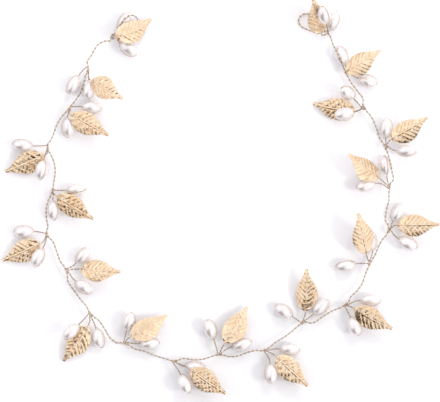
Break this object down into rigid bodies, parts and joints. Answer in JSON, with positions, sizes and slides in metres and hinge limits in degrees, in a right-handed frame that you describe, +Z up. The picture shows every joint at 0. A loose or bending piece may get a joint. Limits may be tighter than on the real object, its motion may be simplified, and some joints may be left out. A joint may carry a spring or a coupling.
{
  "type": "bridal headband",
  "caption": "Open twisted-wire hair vine that lies in a U, with stamped leaves and oval pearls on short wire stems and a pin eye at each end.",
  "frame": {"origin": "middle of the bounding box in plan, on the surface that the vine lies on", "axes": "+Z up from the surface, +X across the open U from its left arm to its right arm, +Y towards the open end of the U"},
  "size_m": [0.1882, 0.17, 0.0154],
  "materials": {
    "core_wire": "twisted champagne gold wire",
    "sprig_wire": "fine champagne gold wire, bright",
    "leaf": "embossed sheet with a pale gold plating",
    "pearl": "pearl coating, soft sheen"
  },
  "bodies": {
    "root": {"core_wire": "core_wire", "sprig_wires_1": "sprig_wire", "sprig_wires_2": "sprig_wire", "sprig_wires_3": "sprig_wire", "sprig_wires_4": "sprig_wire", "sprig_wires_5": "sprig_wire", "sprig_wires_6": "sprig_wire", "sprig_wires_7": "sprig_wire", "leaf_01": "leaf", "leaf_02": "leaf", "leaf_03": "leaf", "leaf_04": "leaf", "leaf_05": "leaf", "leaf_06": "leaf", "leaf_07": "leaf", "leaf_08": "leaf", "leaf_09": "leaf", "leaf_10": "leaf", "leaf_11": "leaf", "leaf_12": "leaf", "leaf_13": "leaf", "leaf_14": "leaf", "leaf_15": "leaf", "leaf_16": "leaf", "leaf_17": "leaf", "leaf_18": "leaf", "leaf_19": "leaf", "leaf_20": "leaf", "leaf_21": "leaf", "pearls_01": "pearl", "pearls_02": "pearl", "pearls_03": "pearl", "pearls_04": "pearl", "pearls_05": "pearl", "pearls_06": "pearl", "pearls_07": "pearl", "pearls_08": "pearl", "pearls_09": "pearl", "pearls_10": "pearl", "pearls_11": "pearl", "pearls_12": "pearl", "pearls_13": "pearl", "pearls_14": "pearl", "pearls_15": "pearl", "pearls_16": "pearl", "pearls_17": "pearl", "pearls_18": "pearl", "pearls_19": "pearl", "pearls_20": "pearl", "pearls_21": "pearl"}
  },
  "joints": []
}
